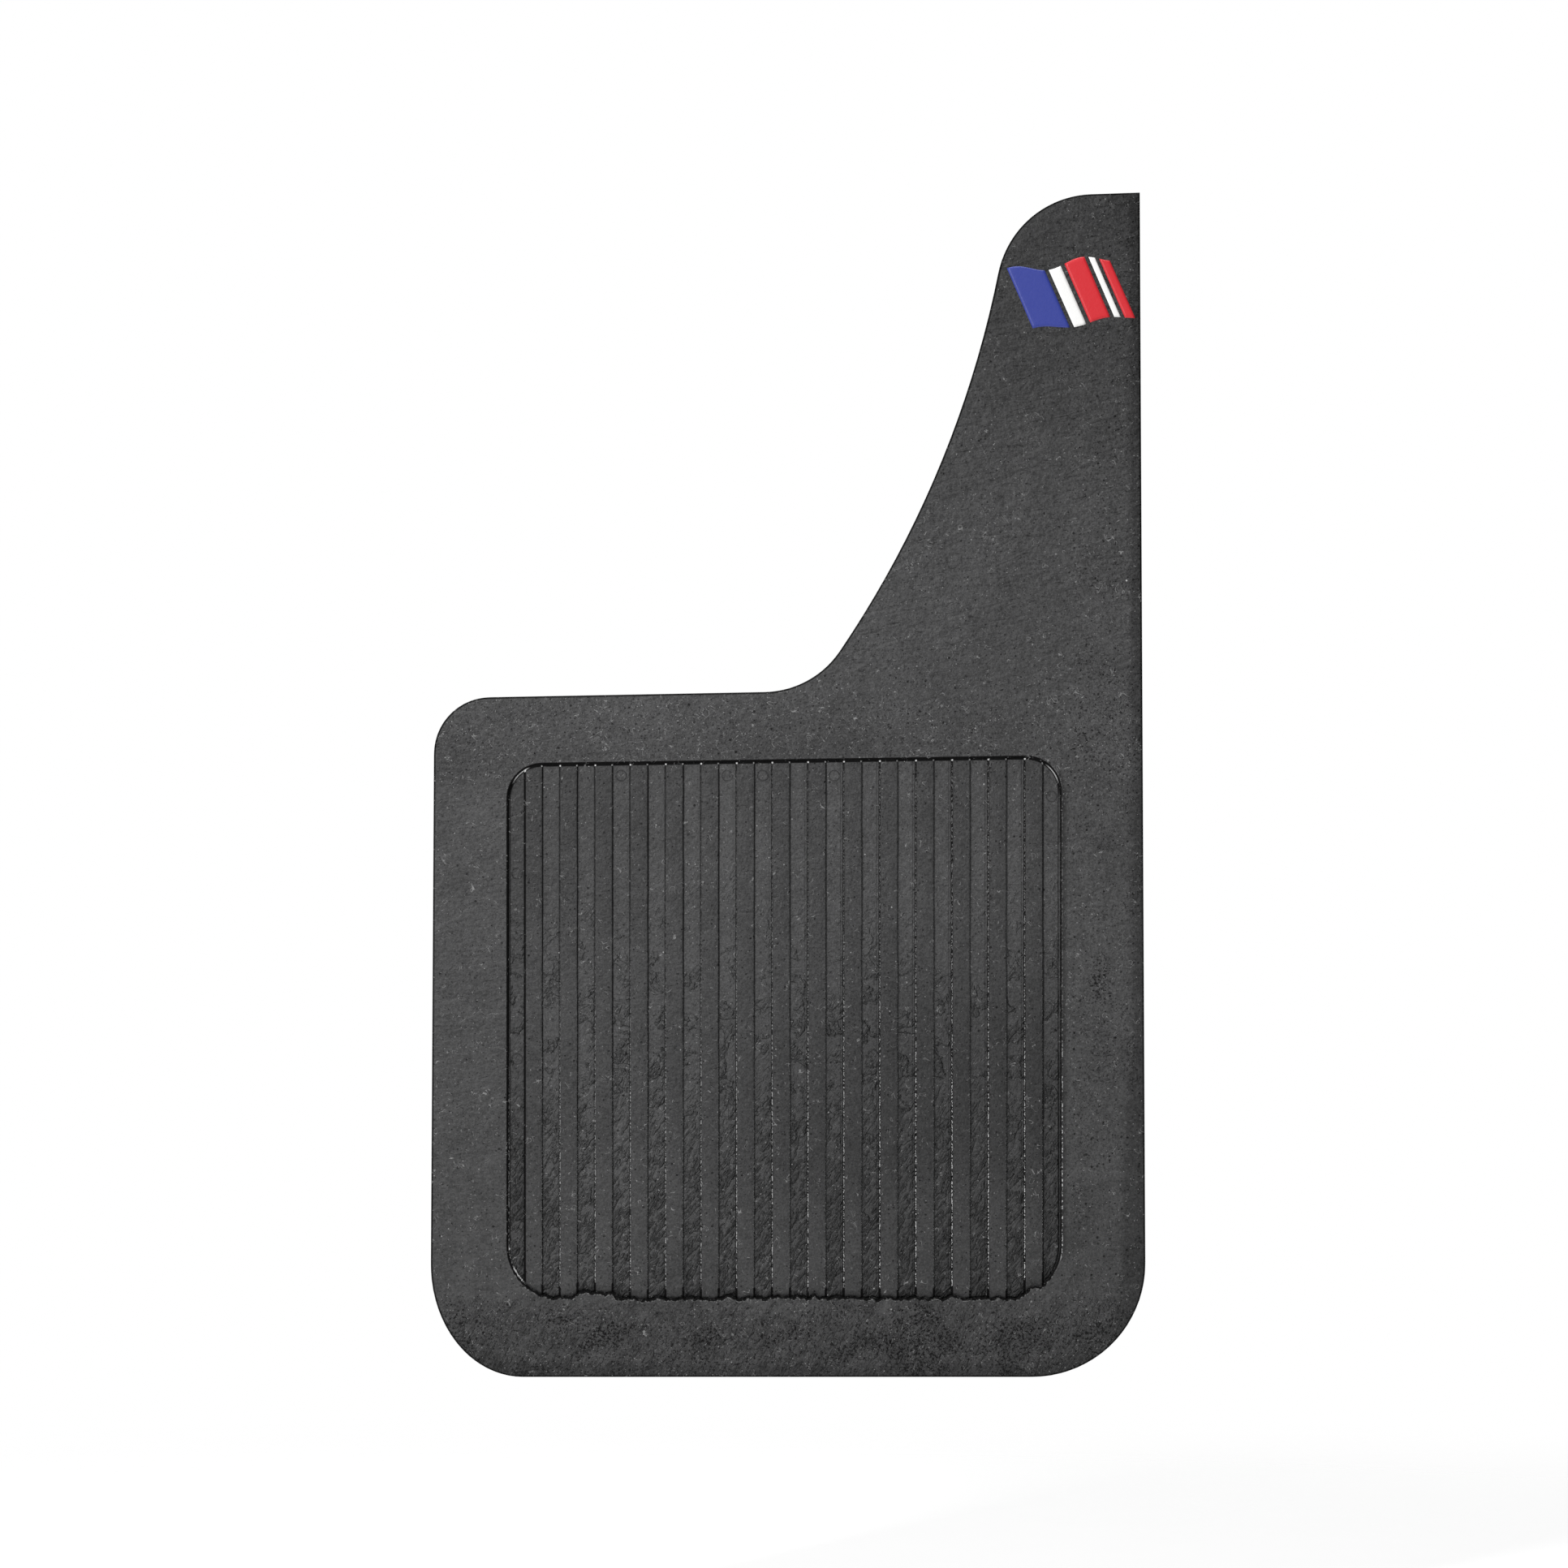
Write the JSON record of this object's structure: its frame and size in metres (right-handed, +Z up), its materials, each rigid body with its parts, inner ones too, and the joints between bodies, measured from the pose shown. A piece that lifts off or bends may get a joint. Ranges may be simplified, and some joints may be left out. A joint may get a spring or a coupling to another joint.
{
  "type": "mud flap",
  "caption": "Moulded rubber mud flap: a ribbed panel hanging from a narrow curved stem, with a small printed decal.",
  "frame": {"origin": "on the flat back face, in the middle of the stem, where the flap is held against the vehicle's flange", "axes": "+X towards the straight outer edge, +Y out of the flat back face, +Z up; the ribbed front faces -Y"},
  "size_m": [0.2775, 0.0049, 0.46],
  "materials": {
    "rubber": "matte",
    "printed_film": "satin"
  },
  "bodies": {
    "stem": {"flap_stem": "rubber", "decal_film": "printed_film"},
    "panel": {"flap_panel": "rubber"}
  },
  "joints": [
    {"name": "neck_flex", "type": "hinge", "parent": "stem", "child": "panel", "pos_m": [-0.025, -0.0024, -0.0911], "axis": [-1, 0, 0], "range_deg": [-30, 45], "stiffness_Nm_per_rad": 0.15}
  ]
}
